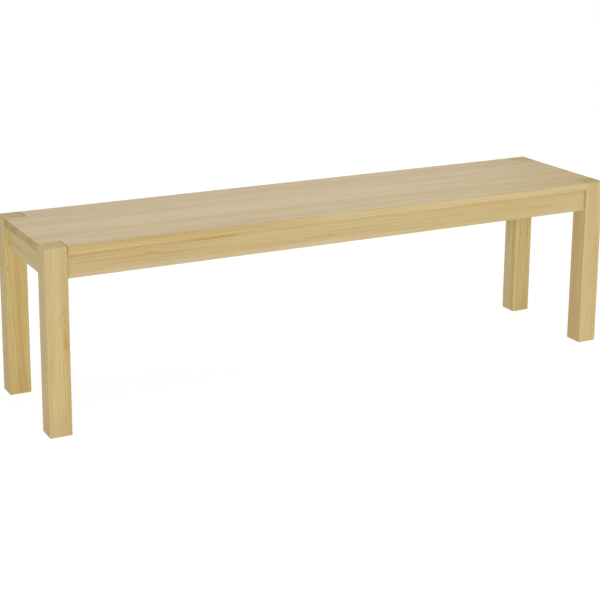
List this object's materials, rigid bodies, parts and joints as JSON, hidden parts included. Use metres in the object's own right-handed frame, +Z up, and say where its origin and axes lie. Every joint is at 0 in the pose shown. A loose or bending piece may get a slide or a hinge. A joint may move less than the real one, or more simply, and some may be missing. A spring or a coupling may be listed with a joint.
{
  "type": "dining bench",
  "caption": "Plain solid pine dining bench: square legs run up flush through the notched corners of an edge-glued seat, with recessed aprons and corner blocks below.",
  "frame": {"origin": "on the floor, under the middle of the seat", "axes": "+X along the bench to the right, +Y from the front to the rear, +Z up"},
  "size_m": [1.6, 0.37, 0.46],
  "materials": {
    "pine": "sanded, clear matt oil",
    "zinc_steel": "bright zinc plated"
  },
  "bodies": {
    "root": {"seat_front_stave": "pine", "seat_inner_stave_1": "pine", "seat_inner_stave_2": "pine", "seat_inner_stave_3": "pine", "seat_rear_stave": "pine", "front_left_leg": "pine", "front_right_leg": "pine", "rear_left_leg": "pine", "rear_right_leg": "pine", "front_apron": "pine", "rear_apron": "pine", "left_apron": "pine", "right_apron": "pine", "left_cross_rail": "pine", "right_cross_rail": "pine", "front_left_corner_block": "pine", "front_right_corner_block": "pine", "rear_left_corner_block": "pine", "rear_right_corner_block": "pine", "hanger_bolts": "zinc_steel", "bolt_washers": "zinc_steel", "bolt_nuts": "zinc_steel", "seat_screws": "zinc_steel"}
  },
  "joints": []
}
